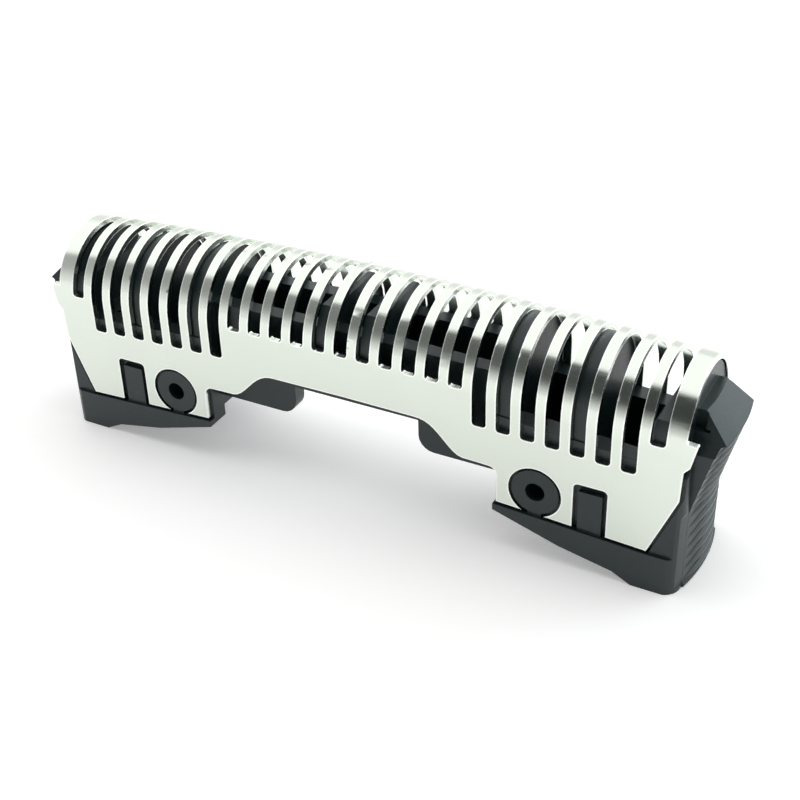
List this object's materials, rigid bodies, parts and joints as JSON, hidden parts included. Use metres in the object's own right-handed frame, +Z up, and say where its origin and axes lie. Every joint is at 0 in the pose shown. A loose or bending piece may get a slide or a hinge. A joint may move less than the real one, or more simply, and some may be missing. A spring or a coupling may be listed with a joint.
{
  "type": "shaver inner cutter block",
  "caption": "Inner cutter block of a foil shaver: a slit steel sheet bent into an arch and snapped over a moulded carrier with ribbed finger grips.",
  "frame": {"origin": "middle of the block's length and width, at the level of its feet", "axes": "+X along the block, +Y across it, +Z up from the feet towards the ridge of the arch"},
  "size_m": [0.0384, 0.0068, 0.0118],
  "materials": {
    "steel": "satin",
    "plastic": "matte"
  },
  "bodies": {
    "root": {"blade_sheet": "steel", "carrier": "plastic"}
  },
  "joints": []
}
